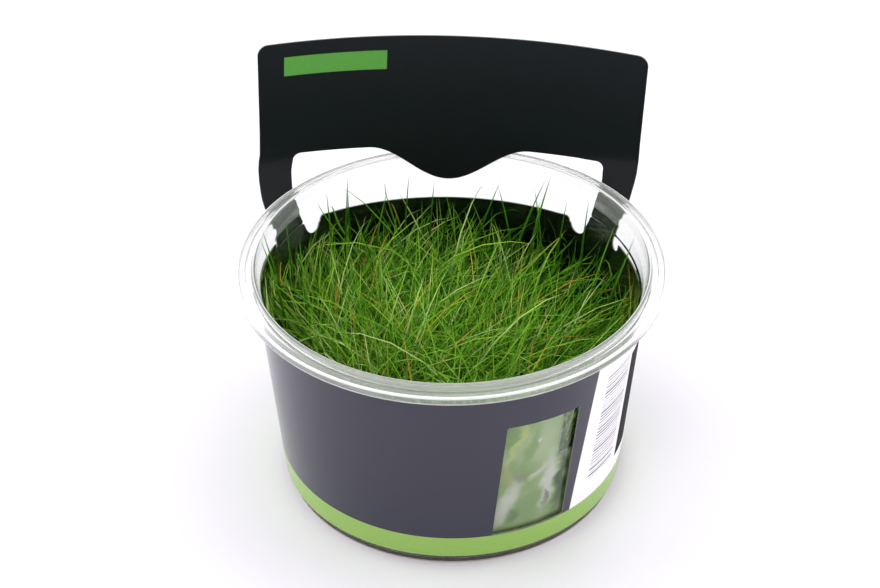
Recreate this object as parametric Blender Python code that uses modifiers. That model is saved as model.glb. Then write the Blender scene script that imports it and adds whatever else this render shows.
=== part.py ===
"""Dwarf hairgrass growing in a clear cup, with the printed card that hangs round the cup.

The cup stands on the ground plane with its axis on Z. The card's tall header is at the back (+Y)
and its die-cut window is at the front right. Lengths are in millimetres until a mesh is made.
"""

import math
import random

import bmesh
import bpy
from mathutils import Matrix, Vector

MM = 0.001

# Cup
RIM_RADIUS = 50.0
RIM_HEIGHT = 57.0
BEAD_HEIGHT = 58.2
BEAD_RADII = (46.1, 46.8)
BEAD_FOOT_RADIUS = 47.4
BEAD_LIP = 0.6
MOUTH_RADIUS = 45.7
MOUTH_DROP = 1.5
COLLAR_DROP = 3.4
COLLAR_STEP = 1.4
COLLAR_INNER_RADIUS = 45.15
COLLAR_OUTER_RADIUS = 45.8
FLANGE_THICKNESS = 0.8
FLANGE_INNER_RADIUS = 46.9
SKIRT_DROP = 2.1
SKIRT_THICKNESS = 0.7
RIM_ROUNDING = 0.5
HEEL_INSIDE = 1.1
HEEL_OUTSIDE = 0.6
WALL_RADIUS_AT = (44.45, 49.0)
WALL_TAPER = 0.094
WALL_THICKNESS = 0.6
FLOOR_TOP = 1.6
RECESS_DEPTH = 0.8
FOOT_INNER_RADIUS = 36.3
CUP_SEGMENTS = 64

# Nutrient gel
GEL_GAP = 0.3
GEL_HEIGHT = 13.0
GEL_HEEL_RISE = 1.2
GEL_HEEL_INSET = 1.3
GEL_SEGMENTS = 36

# Card, flat: distance along the card from the middle of the back, and height above the ground
CARD_THICKNESS = 0.4
CARD_WALL_GAP = 0.35
CARD_RADIUS = 45.0
CARD_TURN = math.radians(-2.5)
CARD_TILT = 0.039
BAND_LOWER = 3.0
BAND_UPPER_BACK = 49.9
BAND_UPPER_FRONT = 51.9
BAND_RISE_START = math.radians(70.0)
BAND_END_RIGHT = math.radians(86.0)
BAND_END_LEFT = math.radians(-280.0)
LAP_RISE = 0.7
LAP_START = math.radians(-258.0)
LAP_END = math.radians(-272.0)
PANEL_TOP = 45.6
PANEL_RISE = 2.4
PANEL_HALF = 34.0
PANEL_CORNER = 1.2
HEADER_TOP = 90.3
HEADER_CORNER = 2.5
SHOULDER_HEIGHT = 60.8
SHOULDER_CORNER = 2.0
BUMP_TIP = 52.0
BUMP_HALF = 19.8
LEG_INNER = ((38.5, 61.0), (39.0, 57.0), (39.6, 53.0), (39.6, 49.0), (39.1, 47.0))
LEG_OUTER = ((48.8, 49.4), (48.4, 53.0), (47.4, 57.0), (46.7, 61.5), (46.7, 67.0), (47.2, 87.8))
INNER_NOTCH = (36.7, 46.8, 2.2)
OUTER_NOTCH = (50.6, 49.2, 1.8)
WINDOW = (
    (math.radians(-193.5), 43.1),
    (math.radians(-218.0), 42.8),
    (math.radians(-215.5), 9.1),
    (math.radians(-190.1), 9.1),
)
WINDOW_CORNER = 0.6

# Card, bent: the header's curve in plan, and where the legs leave the cone for it
HEADER_RADIUS = 145.0
HEADER_MIDDLE_Y = 43.8
HEADER_LEAN = math.tan(math.radians(6.0))
HEADER_SHIFT = -0.6
LEG_START = 44.0
LEG_END = 61.5
LEG_INNER_EASE = (35.0, 38.0)
LEG_OUTER_EASE = (48.9, 52.4)
HEADER_EASE = (33.0, 38.0)
COLUMN_STEP = 4.0
LEG_ROW_STEP = 2.5
LEG_ROW_REACH = (35.0, 53.0)

# Grass: the mat's top, which falls towards the back and the right, and the tufts that make it up
MAT_HEIGHT = 45.0
MAT_FALL = 0.17
MAT_FALL_SIDE = 0.08
MAT_DIP_BACK = 0.0032
RING_RADII = (0.0, 11.8, 23.6, 35.4)
RING_COUNTS = (1, 6, 12, 18)
TUFT_ROOT_RADIUS = 4.5
TUFT_NECK_RADIUS = 5.6
TUFT_NECK_SHARE = 0.74
BLADES_PER_TUFT = 5
BLADE_INSET = 0.25
BLADE_LEAN_RANGE = (0.9, 1.9)
BLADE_ABOVE_MAT = (-1.0, 6.0)
# Each stretch of a blade: its share of the rise, and how much its section narrows
BLADE_STRETCHES = ((0.42, 0.7), (0.33, 0.55), (0.25, 0.25))
# Tips of the blades that stand clear of the mat: x, y and height
TALL_TIPS = (
    (-25, 31, 61),
    (-25, 26, 61),
    (-30, 27, 60),
    (-10, 33, 61),
    (-4, 34, 58),
    (-15, 33, 57),
    (0, 30, 55),
    (12, 32, 59),
    (11, 31, 59),
    (23, 30, 61),
    (24, 28, 63),
    (20, 31, 58),
    (28, 28, 56),
    (33, 24, 59),
    (39, 14, 59),
    (43, 8, 59),
    (40, 2, 55),
    (42, -5, 55),
    (-44, 3, 66),
    (-44, -4, 68),
    (-39, 12, 63),
    (-36, 12, 58),
    (-40, -6, 58),
)
TALL_REACH = 5.8
GRASS_SEED = 7

SLATE = (0.070, 0.068, 0.085, 1.0)
CLEAR_PLASTIC = (0.95, 0.97, 0.96, 1.0)
GEL_COLOUR = (0.72, 0.78, 0.55, 1.0)
GRASS_GREEN = (0.13, 0.31, 0.03, 1.0)


def smooth(x):
    """Ease from 0 to 1."""
    x = min(1.0, max(0.0, x))
    return x * x * (3.0 - 2.0 * x)


def ease(x, start, end):
    """Ease from 0 at start to 1 at end."""
    return smooth((x - start) / (end - start))


def wall_radius(z):
    """Outer radius of the cup's wall at height z."""
    radius, height = WALL_RADIUS_AT
    return radius + WALL_TAPER * (z - height)


def clear_scene():
    for old in list(bpy.data.objects):
        bpy.data.objects.remove(old, do_unlink=True)


def make_material(name, colour, roughness, transmission=0.0):
    material = bpy.data.materials.new(name)
    material.use_nodes = True
    shader = material.node_tree.nodes["Principled BSDF"]
    shader.inputs["Base Color"].default_value = colour
    shader.inputs["Roughness"].default_value = roughness
    shader.inputs["Metallic"].default_value = 0.0
    shader.inputs["Transmission Weight"].default_value = transmission
    return material


def add_object(name, mesh, collection, material):
    obj = bpy.data.objects.new(name, mesh)
    collection.objects.link(obj)
    mesh.materials.append(material)
    return obj


def shade_round(mesh, sharp_degrees=35.0):
    mesh.shade_smooth()
    mesh.set_sharp_from_angle(angle=math.radians(sharp_degrees))


def turned(name, profile, segments, collection, material):
    """Turn a profile of (radius, height) points about Z; it runs from the top inside to the base."""
    mesh = bpy.data.meshes.new(name)
    points = [(r * MM, 0.0, z * MM) for r, z in profile]
    edges = [(i, i + 1) for i in range(len(points) - 1)]
    mesh.from_pydata(points, edges, [])
    obj = add_object(name, mesh, collection, material)
    screw = obj.modifiers.new("Turn", "SCREW")
    screw.steps = segments
    screw.render_steps = segments
    screw.use_merge_vertices = True
    screw.merge_threshold = 0.00001
    screw.use_smooth_shade = True
    return obj


def cup_profile():
    """The cup's section: down the inside from the floor's middle, over the rim, and down the outside."""
    collar = RIM_HEIGHT - COLLAR_DROP
    skirt = RIM_HEIGHT - SKIRT_DROP
    flange = RIM_HEIGHT - FLANGE_THICKNESS
    heel = FLOOR_TOP + HEEL_INSIDE
    inside = [
        (0.0, FLOOR_TOP),
        (wall_radius(FLOOR_TOP) - WALL_THICKNESS - HEEL_INSIDE, FLOOR_TOP),
        (wall_radius(heel) - WALL_THICKNESS, heel),
        (wall_radius(collar) - WALL_THICKNESS, collar),
        (COLLAR_INNER_RADIUS, RIM_HEIGHT - MOUTH_DROP),
        (MOUTH_RADIUS, BEAD_HEIGHT - BEAD_LIP),
    ]
    over_rim = [
        (BEAD_RADII[0], BEAD_HEIGHT),
        (BEAD_RADII[1], BEAD_HEIGHT),
        (BEAD_FOOT_RADIUS, RIM_HEIGHT),
        (RIM_RADIUS - RIM_ROUNDING, RIM_HEIGHT),
        (RIM_RADIUS, RIM_HEIGHT - RIM_ROUNDING),
        (RIM_RADIUS, skirt),
    ]
    outside = [
        (RIM_RADIUS - SKIRT_THICKNESS, skirt),
        (RIM_RADIUS - SKIRT_THICKNESS, flange),
        (FLANGE_INNER_RADIUS, flange),
        (COLLAR_OUTER_RADIUS, collar + COLLAR_STEP),
        (wall_radius(collar), collar),
        (wall_radius(HEEL_OUTSIDE), HEEL_OUTSIDE),
        (wall_radius(0.0) - HEEL_OUTSIDE, 0.0),
        (FOOT_INNER_RADIUS, 0.0),
        (FOOT_INNER_RADIUS - RECESS_DEPTH, RECESS_DEPTH),
        (0.0, RECESS_DEPTH),
    ]
    return inside + over_rim + outside


def make_cup(collection):
    plastic = make_material("clear_cup_plastic", CLEAR_PLASTIC, 0.05, transmission=1.0)
    return turned("cup", cup_profile(), CUP_SEGMENTS, collection, plastic)


def make_gel(collection):
    """Nutrient gel that fills the bottom of the cup."""
    clearance = WALL_THICKNESS + GEL_GAP
    low = FLOOR_TOP + GEL_GAP
    profile = [
        (0.0, GEL_HEIGHT),
        (wall_radius(GEL_HEIGHT) - clearance, GEL_HEIGHT),
        (wall_radius(low + GEL_HEEL_RISE) - clearance, low + GEL_HEEL_RISE),
        (wall_radius(low) - clearance - GEL_HEEL_INSET, low),
        (0.0, low),
    ]
    gel = make_material("nutrient_gel", GEL_COLOUR, 0.25, transmission=0.6)
    return turned("nutrient_gel", profile, GEL_SEGMENTS, collection, gel)


def arc(centre, radius, start, end, steps):
    """Points on a circle from one angle to another, in degrees."""
    points = []
    for i in range(steps + 1):
        angle = math.radians(start + (end - start) * i / steps)
        points.append((centre[0] + radius * math.cos(angle), centre[1] + radius * math.sin(angle)))
    return points


def band_upper(u):
    """Height of the band's upper edge, which rises a little towards the front."""
    azimuth = abs(math.remainder(u / CARD_RADIUS, math.tau))
    rise = BAND_UPPER_FRONT - BAND_UPPER_BACK
    return BAND_UPPER_BACK + rise * ease(azimuth, BAND_RISE_START, math.pi)


def leg_and_header_side():
    """The card's right edge, from the notch outside the leg up to the header's top corner."""
    u, height, radius = OUTER_NOTCH
    notch = [(u + radius, BAND_UPPER_BACK)] + arc((u, height), radius, 0.0, -180.0, 6)
    top_corner = LEG_OUTER[-1]
    centre = (top_corner[0] - HEADER_CORNER, HEADER_TOP - HEADER_CORNER)
    return notch + list(LEG_OUTER) + arc(centre, HEADER_CORNER, 0.0, 90.0, 4)[1:]


def outer_outline():
    """The outer edge of the flat card, anticlockwise from its lower left end."""
    left = BAND_END_LEFT * CARD_RADIUS
    right = BAND_END_RIGHT * CARD_RADIUS
    side = leg_and_header_side()
    start = side[0][0]
    outline = [(left, BAND_LOWER), (right, BAND_LOWER), (right, band_upper(right))]
    outline += side
    outline += [(-u, h) for u, h in reversed(side)]
    steps = 16
    for i in range(1, steps + 1):
        u = -start + (left + start) * i / steps
        outline.append((u, band_upper(u)))
    return outline


def cut_out_half():
    """The right half of the opening under the header, from the panel's middle to the bump's tip."""
    points = []
    steps = 4
    for i in range(steps):
        u = (PANEL_HALF - PANEL_CORNER) * i / steps
        points.append((u, PANEL_TOP + PANEL_RISE * (u / PANEL_HALF) ** 2))
    corner = (PANEL_HALF - PANEL_CORNER, PANEL_TOP + PANEL_RISE - PANEL_CORNER)
    points += arc(corner, PANEL_CORNER, 90.0, 0.0, 3)
    u, height, radius = INNER_NOTCH
    points += arc((u, height), radius, 190.0, 350.0, 5)
    points += list(reversed(LEG_INNER))[1:-1]
    corner = (LEG_INNER[0][0] - SHOULDER_CORNER, SHOULDER_HEIGHT - SHOULDER_CORNER)
    points += arc(corner, SHOULDER_CORNER, 0.0, 90.0, 3)
    steps = 10
    for i in range(steps):
        u = BUMP_HALF * (1.0 - i / steps)
        drop = 0.5 * (1.0 + math.cos(math.pi * u / BUMP_HALF))
        points.append((u, SHOULDER_HEIGHT + (BUMP_TIP - SHOULDER_HEIGHT) * drop))
    return points


def cut_out_outline():
    half = cut_out_half()
    mirrored = [(-u, h) for u, h in reversed(half[1:])]
    return half + [(0.0, BUMP_TIP)] + mirrored


def window_outline():
    """The window's four corners with small rounds."""
    corners = [(azimuth * CARD_RADIUS, h) for azimuth, h in WINDOW]
    points = []
    for i, corner in enumerate(corners):
        for other in (corners[i - 1], corners[(i + 1) % 4]):
            length = math.dist(corner, other)
            share = WINDOW_CORNER / length
            points.append(tuple(a + (b - a) * share for a, b in zip(corner, other)))
    return points


def flat_card():
    """The flat card as a mesh, in millimetres, filled between its outline and its two openings."""
    curve = bpy.data.curves.new("card_outline", "CURVE")
    curve.dimensions = "2D"
    curve.fill_mode = "BOTH"
    for outline in (outer_outline(), cut_out_outline(), window_outline()):
        spline = curve.splines.new("POLY")
        spline.points.add(len(outline) - 1)
        spline.use_cyclic_u = True
        for point, (u, h) in zip(spline.points, outline):
            point.co = (u, h, 0.0, 1.0)
    guide = bpy.data.objects.new("card_outline", curve)
    bpy.context.scene.collection.objects.link(guide)
    depsgraph = bpy.context.evaluated_depsgraph_get()
    mesh = bpy.data.meshes.new_from_object(guide.evaluated_get(depsgraph))
    bpy.data.objects.remove(guide, do_unlink=True)
    return mesh


def cut_along(bm, faces, axis, value):
    """Cut faces of the flat card along one line, at a value of u (axis 0) or height (axis 1)."""
    origin = [0.0, 0.0, 0.0]
    origin[axis] = value
    normal = [0.0, 0.0, 0.0]
    normal[axis] = 1.0
    edges = {edge for face in faces for edge in face.edges}
    verts = {vert for edge in edges for vert in edge.verts}
    geometry = list(verts) + list(edges) + list(faces)
    bmesh.ops.bisect_plane(bm, geom=geometry, dist=0.0005, plane_co=origin, plane_no=normal)


def straight_through(vert):
    """Whether a vertex only divides a straight edge."""
    if len(vert.link_edges) != 2:
        return False
    first, second = ((edge.other_vert(vert).co - vert.co).normalized() for edge in vert.link_edges)
    return first.dot(second) < -0.99999


def split_card(bm):
    """Cut the flat card along its columns and, at the legs, its rows; then drop all other edges."""
    left = BAND_END_LEFT * CARD_RADIUS
    right = BAND_END_RIGHT * CARD_RADIUS
    count = round((right - left) / COLUMN_STEP)
    columns = [left + (right - left) * i / count for i in range(1, count)]
    row_count = round((LEG_END - LEG_START) / LEG_ROW_STEP)
    rows = [LEG_START + LEG_ROW_STEP * i for i in range(row_count + 1)]
    for u in columns:
        cut_along(bm, bm.faces[:], 0, u)
    nearest, farthest = LEG_ROW_REACH
    for h in rows:
        near_legs = [f for f in bm.faces if nearest < abs(f.calc_center_median().x) < farthest]
        cut_along(bm, near_legs, 1, h)

    def on_line(edge):
        for axis, lines in ((0, columns), (1, rows)):
            first, second = (vert.co[axis] for vert in edge.verts)
            near = any(abs(first - value) < 0.002 for value in lines)
            if near and abs(first - second) < 0.002:
                return True
        return False

    inner = [edge for edge in bm.edges if len(edge.link_faces) == 2 and not on_line(edge)]
    bmesh.ops.dissolve_edges(bm, edges=inner, use_verts=False)
    spare = [vert for vert in bm.verts if straight_through(vert)]
    bmesh.ops.dissolve_verts(bm, verts=spare)


def header_share(u, h, z):
    """How far the card has left the cone for the header: 0 on the band and 1 on the header."""
    leg = ease(z, LEG_START, LEG_END)
    distance = abs(u)
    if h > BAND_UPPER_BACK and distance < LEG_OUTER[0][0] + 0.1:
        return max(leg, 1.0 - ease(distance, *HEADER_EASE))
    return leg * ease(distance, *LEG_INNER_EASE) * (1.0 - ease(distance, *LEG_OUTER_EASE))


def card_tilt(h):
    """Slope of the card across X: none at its lower edge, full from the band's upper edge on."""
    return CARD_TILT * min(1.0, (h - BAND_LOWER) / (BAND_UPPER_BACK - BAND_LOWER))


def lap_offset(u):
    """Radial rise of the band's left end, which laps over its right end."""
    return LAP_RISE * ease(-u / CARD_RADIUS, -LAP_START, -LAP_END)


def bend(u, h):
    """Carry a point of the flat card to its place round the cup, in millimetres."""
    azimuth = u / CARD_RADIUS + CARD_TURN
    tilt = card_tilt(h)
    z_band = h - tilt * CARD_RADIUS * math.sin(azimuth)
    radius = wall_radius(z_band) + CARD_WALL_GAP + CARD_THICKNESS / 2.0 + lap_offset(u)
    band = (radius * math.sin(azimuth), radius * math.cos(azimuth), z_band)
    above_rim = h - RIM_HEIGHT
    x = HEADER_SHIFT + CARD_TILT * above_rim + HEADER_RADIUS * math.sin(u / HEADER_RADIUS)
    sag = HEADER_RADIUS * (1.0 - math.cos(u / HEADER_RADIUS))
    header = (x, HEADER_MIDDLE_Y + HEADER_LEAN * above_rim - sag, h - tilt * x)
    share = header_share(u, h, z_band)
    return tuple(a + (b - a) * share for a, b in zip(band, header))


def make_card(collection):
    """One die-cut card: the band round the cup, two legs outside the rim, and the header."""
    bm = bmesh.new()
    bm.from_mesh(flat_card())
    bmesh.ops.remove_doubles(bm, verts=bm.verts[:], dist=0.001)
    split_card(bm)
    for vert in bm.verts:
        vert.co = [value * MM for value in bend(vert.co.x, vert.co.y)]
    bmesh.ops.triangulate(bm, faces=bm.faces[:])
    mesh = bpy.data.meshes.new("card_sleeve")
    bm.to_mesh(mesh)
    bm.free()
    shade_round(mesh)
    print_black = make_material("printed_card", SLATE, 0.35)
    card = add_object("card_sleeve", mesh, collection, print_black)
    solidify = card.modifiers.new("Thickness", "SOLIDIFY")
    solidify.thickness = CARD_THICKNESS * MM
    solidify.offset = 0.0
    solidify.use_even_offset = False
    return card


def mat_top(x, y):
    """Height of the mat's top at a place, lowest at the back."""
    return MAT_HEIGHT - MAT_FALL * y - MAT_FALL_SIDE * x - MAT_DIP_BACK * max(0.0, y) ** 2


def grow_blade(bm, face, tip):
    """Grow one tapering blade from a top face of a tuft to its tip, in three stretches."""
    bmesh.ops.inset_individual(bm, faces=[face], thickness=BLADE_INSET)
    way = Vector(tip) - face.calc_center_median()
    for share, narrowing in BLADE_STRETCHES:
        grown = bmesh.ops.extrude_discrete_faces(bm, faces=[face])
        face = grown["faces"][0]
        centre = face.calc_center_median()
        for vert in face.verts:
            vert.co = centre + (vert.co - centre) * narrowing + way * share


def blade_tips(crown, centre, tall, rng):
    """The tip of each blade of a tuft, by its top face, measured from the tuft's centre."""
    tips = {}
    for face in crown:
        foot = face.calc_center_median()
        lean = 1.0 + rng.uniform(*BLADE_LEAN_RANGE) / math.hypot(foot.x, foot.y)
        x, y = foot.x * lean, foot.y * lean
        height = mat_top(centre[0] + x, centre[1] + y) + rng.uniform(*BLADE_ABOVE_MAT)
        tips[face] = (x, y, height)
    spare = list(crown)
    for mark in tall[:BLADES_PER_TUFT]:
        x, y = mark[0] - centre[0], mark[1] - centre[1]
        pull = min(1.0, TALL_REACH / math.hypot(x, y))
        tip = Vector((x * pull, y * pull, mark[2]))
        face = min(spare, key=lambda f: (f.calc_center_median().xy - tip.xy).length)
        spare.remove(face)
        tips[face] = tip
    return tips


def tuft_mesh(name, centre, tall, rng):
    """A clump of blades: a narrow foot that widens to a neck, from which tapering blades rise."""
    low = GEL_HEIGHT + GEL_GAP
    depth = (mat_top(*centre) - low) * TUFT_NECK_SHARE
    bm = bmesh.new()
    bmesh.ops.create_cone(
        bm,
        cap_ends=True,
        segments=BLADES_PER_TUFT,
        radius1=TUFT_ROOT_RADIUS,
        radius2=TUFT_NECK_RADIUS,
        depth=depth,
    )
    turn = Matrix.Rotation(rng.uniform(0.0, math.tau), 4, "Z")
    lift = Matrix.Translation((0.0, 0.0, low + depth / 2.0))
    bmesh.ops.transform(bm, matrix=lift @ turn, verts=bm.verts[:])
    top = max(bm.faces, key=lambda face: face.calc_center_median().z)
    crown = bmesh.ops.poke(bm, faces=[top])["faces"]
    for face, tip in blade_tips(crown, centre, tall, rng).items():
        grow_blade(bm, face, tip)
    bmesh.ops.scale(bm, vec=(MM, MM, MM), verts=bm.verts[:])
    bmesh.ops.recalc_face_normals(bm, faces=bm.faces[:])
    mesh = bpy.data.meshes.new(name)
    bm.to_mesh(mesh)
    bm.free()
    return mesh


def tuft_centres():
    """The middle of each tuft, in rings round the cup's axis."""
    centres = []
    for ring, (radius, count) in enumerate(zip(RING_RADII, RING_COUNTS)):
        for i in range(count):
            azimuth = math.tau * (i + 0.5 * (ring % 2)) / count
            centres.append((radius * math.sin(azimuth), radius * math.cos(azimuth)))
    return centres


def make_tufts(collection):
    """One tuft at each place; every tall tip belongs to the tuft that is nearest to it."""
    rng = random.Random(GRASS_SEED)
    grass = make_material("grass_blades", GRASS_GREEN, 0.45)
    centres = tuft_centres()
    owners = [min(centres, key=lambda centre: math.dist(centre, tip[:2])) for tip in TALL_TIPS]
    for number, centre in enumerate(centres, start=1):
        name = f"tuft_{number:02d}"
        tall = [tip for tip, owner in zip(TALL_TIPS, owners) if owner == centre]
        tuft = add_object(name, tuft_mesh(name, centre, tall, rng), collection, grass)
        tuft.location = (centre[0] * MM, centre[1] * MM, 0.0)


def main():
    clear_scene()
    collection = bpy.data.collections.new("dwarf_hairgrass")
    bpy.context.scene.collection.children.link(collection)
    make_cup(collection)
    make_gel(collection)
    make_card(collection)
    make_tufts(collection)


main()
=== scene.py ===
"""Dwarf hairgrass growing in a clear cup, with a printed card wrapped round the cup.

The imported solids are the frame. This script stands a finely turned cup, a cloudy gel, a die-cut
printed card and a mat of fine blades in their places, dresses each one as what it is made of, and
sets them on a pale floor in soft studio light. Sizes in the classes are millimetres; meshes are
metres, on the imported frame's axes.
"""

from __future__ import annotations

import logging
import math
from dataclasses import dataclass, field
from enum import Enum
from typing import Callable

import bmesh
import bpy
import numpy as np
from mathutils import Matrix

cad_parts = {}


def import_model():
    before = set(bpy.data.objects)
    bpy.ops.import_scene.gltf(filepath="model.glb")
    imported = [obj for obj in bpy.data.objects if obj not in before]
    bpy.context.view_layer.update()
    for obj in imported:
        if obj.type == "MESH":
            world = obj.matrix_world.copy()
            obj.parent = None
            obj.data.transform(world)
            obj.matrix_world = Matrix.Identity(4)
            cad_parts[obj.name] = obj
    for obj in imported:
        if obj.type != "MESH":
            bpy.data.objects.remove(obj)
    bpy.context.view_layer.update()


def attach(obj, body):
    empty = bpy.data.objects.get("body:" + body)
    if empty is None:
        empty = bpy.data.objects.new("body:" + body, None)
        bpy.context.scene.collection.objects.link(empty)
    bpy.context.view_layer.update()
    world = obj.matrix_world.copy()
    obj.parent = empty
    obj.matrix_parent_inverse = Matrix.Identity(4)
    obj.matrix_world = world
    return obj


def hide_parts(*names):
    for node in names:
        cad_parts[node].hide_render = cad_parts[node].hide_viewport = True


MM = 0.001
LOG = logging.getLogger("hairgrass")

Point = tuple[float, float]
Colour = tuple[float, float, float, float]


def linear(code: str) -> Colour:
    """Turn an sRGB hex colour into linear light.

    Args:
        code: the colour as "#rrggbb".

    Returns:
        The linear colour with full alpha.
    """
    parts = [int(code[i : i + 2], 16) / 255.0 for i in (1, 3, 5)]
    light = [p / 12.92 if p <= 0.04045 else ((p + 0.055) / 1.055) ** 2.4 for p in parts]
    return (light[0], light[1], light[2], 1.0)


def ease(x: float, start: float, end: float) -> float:
    """Ease from 0 at start to 1 at end."""
    t = min(1.0, max(0.0, (x - start) / (end - start)))
    return t * t * (3.0 - 2.0 * t)


def add_node(
    tree: bpy.types.NodeTree, kind: str, feeds: dict | None = None, **settings: object
) -> bpy.types.Node:
    """Add one node with its settings, values and links.

    Args:
        tree: the node tree that takes the node.
        kind: the node's type name.
        feeds: for each input, by name or number, a constant or another node's output.
        settings: the node's own options.

    Returns:
        The new node.
    """
    node = tree.nodes.new(kind)
    for name, value in settings.items():
        setattr(node, name, value)
    for key, value in (feeds or {}).items():
        if isinstance(value, bpy.types.NodeSocket):
            tree.links.new(value, node.inputs[key])
        else:
            node.inputs[key].default_value = value
    return node


def new_material(name: str) -> tuple[bpy.types.Material, bpy.types.NodeTree, bpy.types.Node]:
    """Make an empty material with its output and one principled shader.

    Args:
        name: the material's name.

    Returns:
        The material, its tree and its shader node.
    """
    material = bpy.data.materials.new(name)
    material.use_nodes = True
    tree = material.node_tree
    tree.nodes.clear()
    shader = add_node(tree, "ShaderNodeBsdfPrincipled")
    add_node(tree, "ShaderNodeOutputMaterial", {"Surface": shader.outputs["BSDF"]})
    return material, tree, shader


class Part(Enum):
    """What of a mesh is picked in edit mode."""

    VERTS = "VERT"
    EDGES = "EDGE"
    FACES = "FACE"


def clear_selection() -> None:
    """Leave edit mode and deselect everything."""
    if bpy.context.object is not None and bpy.context.object.mode != "OBJECT":
        bpy.ops.object.mode_set(mode="OBJECT")
    bpy.ops.object.select_all(action="DESELECT")


def take_up(obj: bpy.types.Object) -> None:
    """Make one object the only selected and active one."""
    clear_selection()
    obj.select_set(True)
    bpy.context.view_layer.objects.active = obj


def pick(obj: bpy.types.Object, part: Part, test: Callable[[object], bool]) -> None:
    """Select in edit mode just the items that pass a test.

    Args:
        obj: the object that is in edit mode.
        part: whether vertices, edges or faces are tested.
        test: takes a bmesh item and says whether it is picked.
    """
    bpy.ops.mesh.select_mode(type=part.value)
    bpy.ops.mesh.select_all(action="DESELECT")
    shape = bmesh.from_edit_mesh(obj.data)
    for item in getattr(shape, part.name.lower()):
        item.select_set(test(item))
    shape.select_flush_mode()
    bmesh.update_edit_mesh(obj.data)


def close_and_orient(merge: float = 0.002) -> None:
    """Merge doubled points of the mesh in edit mode, in millimetres, and turn its faces outwards."""
    bpy.ops.mesh.select_all(action="SELECT")
    bpy.ops.mesh.remove_doubles(threshold=merge * MM)
    bpy.ops.mesh.normals_make_consistent(inside=False)


def filleted(corners: list[tuple[float, float, float]], steps: int = 4) -> list[Point]:
    """Round the corners of a section.

    Args:
        corners: radius from the axis, height, and the rounding at each corner.
        steps: how many pieces each rounding has.

    Returns:
        The section's points.
    """
    points: list[Point] = []
    for i, (r, z, rounding) in enumerate(corners):
        if rounding <= 0.0 or i in (0, len(corners) - 1):
            points.append((r, z))
            continue
        ends = []
        for other in (corners[i - 1], corners[i + 1]):
            length = math.dist((r, z), other[:2])
            reach = min(rounding, 0.48 * length) / length
            ends.append((r + (other[0] - r) * reach, z + (other[1] - z) * reach))
        for k in range(steps + 1):
            t = k / steps
            a, b, c = (1.0 - t) ** 2, 2.0 * t * (1.0 - t), t * t
            points.append(tuple(a * s + b * m + c * e for s, m, e in zip(ends[0], (r, z), ends[1])))
    return points


def turned(name: str, section: list[Point], steps: int) -> bpy.types.Object:
    """Draw a section point by point and spin it about the upright axis.

    Args:
        name: the new object's name.
        section: points of radius and height, which start and end on the axis.
        steps: how many steps the full turn has.

    Returns:
        The closed, smooth-shaded object.
    """
    clear_selection()
    bpy.ops.mesh.primitive_plane_add(size=0.001)
    obj = bpy.context.object
    obj.name = obj.data.name = name
    bpy.ops.object.mode_set(mode="EDIT")
    bpy.ops.mesh.select_mode(type="VERT")
    bpy.ops.mesh.select_all(action="SELECT")
    bpy.ops.mesh.merge(type="CENTER")
    last = (0.0, 0.0)
    for i, point in enumerate(section):
        step = ((point[0] - last[0]) * MM, 0.0, (point[1] - last[1]) * MM)
        if i == 0:
            bpy.ops.transform.translate(value=step)
        else:
            bpy.ops.mesh.extrude_region_move(TRANSFORM_OT_translate={"value": step})
        last = point
    bpy.ops.mesh.select_all(action="SELECT")
    bpy.ops.mesh.spin(steps=steps, angle=math.tau, center=(0, 0, 0), axis=(0, 0, 1))
    close_and_orient()
    bpy.ops.object.mode_set(mode="OBJECT")
    bpy.ops.object.shade_smooth_by_angle(angle=math.radians(40.0))
    return obj


@dataclass(frozen=True)
class CupPlastic:
    """Injection-moulded clear polypropylene: glossy and water-clear where the wall is thin."""

    name: str = "moulded_clear_polypropylene"
    colour: str = "#fcfefc"
    clear: float = 1.0
    haze: float = 0.0
    ior: float = 1.45
    roughness: float = 0.03
    line_size: float = 0.5

    def material(self) -> bpy.types.Material:
        """Clear plastic with faint flow lines, which run round the cup as the mould filled."""
        material, tree, shader = new_material(self.name)
        place = add_node(tree, "ShaderNodeTexCoord").outputs["Object"]
        split = add_node(tree, "ShaderNodeSeparateXYZ", {0: place})
        level = add_node(tree, "ShaderNodeVectorMath", {0: place, 1: (1.0, 1.0, 0.0)}, operation="MULTIPLY")
        away = add_node(tree, "ShaderNodeVectorMath", {0: level.outputs["Vector"]}, operation="LENGTH")
        ring = add_node(
            tree, "ShaderNodeCombineXYZ", {"X": away.outputs["Value"], "Y": split.outputs["Z"]}
        )
        lines = add_node(
            tree,
            "ShaderNodeTexNoise",
            {"Vector": ring.outputs["Vector"], "Scale": 1.0 / (self.line_size * MM), "Detail": 2.0},
        )
        gloss = add_node(
            tree,
            "ShaderNodeMapRange",
            {"Value": lines.outputs["Fac"], "To Min": self.roughness * 0.5, "To Max": self.roughness * 1.6},
        )
        milk = add_node(
            tree,
            "ShaderNodeMapRange",
            {
                "Value": lines.outputs["Fac"],
                "From Min": 0.3,
                "From Max": 0.7,
                "To Min": self.clear,
                "To Max": self.clear - self.haze,
            },
        )
        tree.links.new(gloss.outputs["Result"], shader.inputs["Roughness"])
        tree.links.new(milk.outputs["Result"], shader.inputs["Transmission Weight"])
        shader.inputs["Base Color"].default_value = linear(self.colour)
        shader.inputs["IOR"].default_value = self.ior
        return material


@dataclass(frozen=True)
class RimPlastic(CupPlastic):
    """The same polypropylene where it is thick: the rim looks a little milky and white."""

    name: str = "moulded_polypropylene_rim"
    colour: str = "#f7f8f4"
    clear: float = 0.9
    haze: float = 0.16
    roughness: float = 0.06


@dataclass(frozen=True)
class Smear:
    """One soft patch of the film: its middle, its half sizes, its lean in degrees, and its colour."""

    x: float
    z: float
    wide: float
    high: float
    lean: float
    colour: str
    strength: float = 1.0


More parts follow.
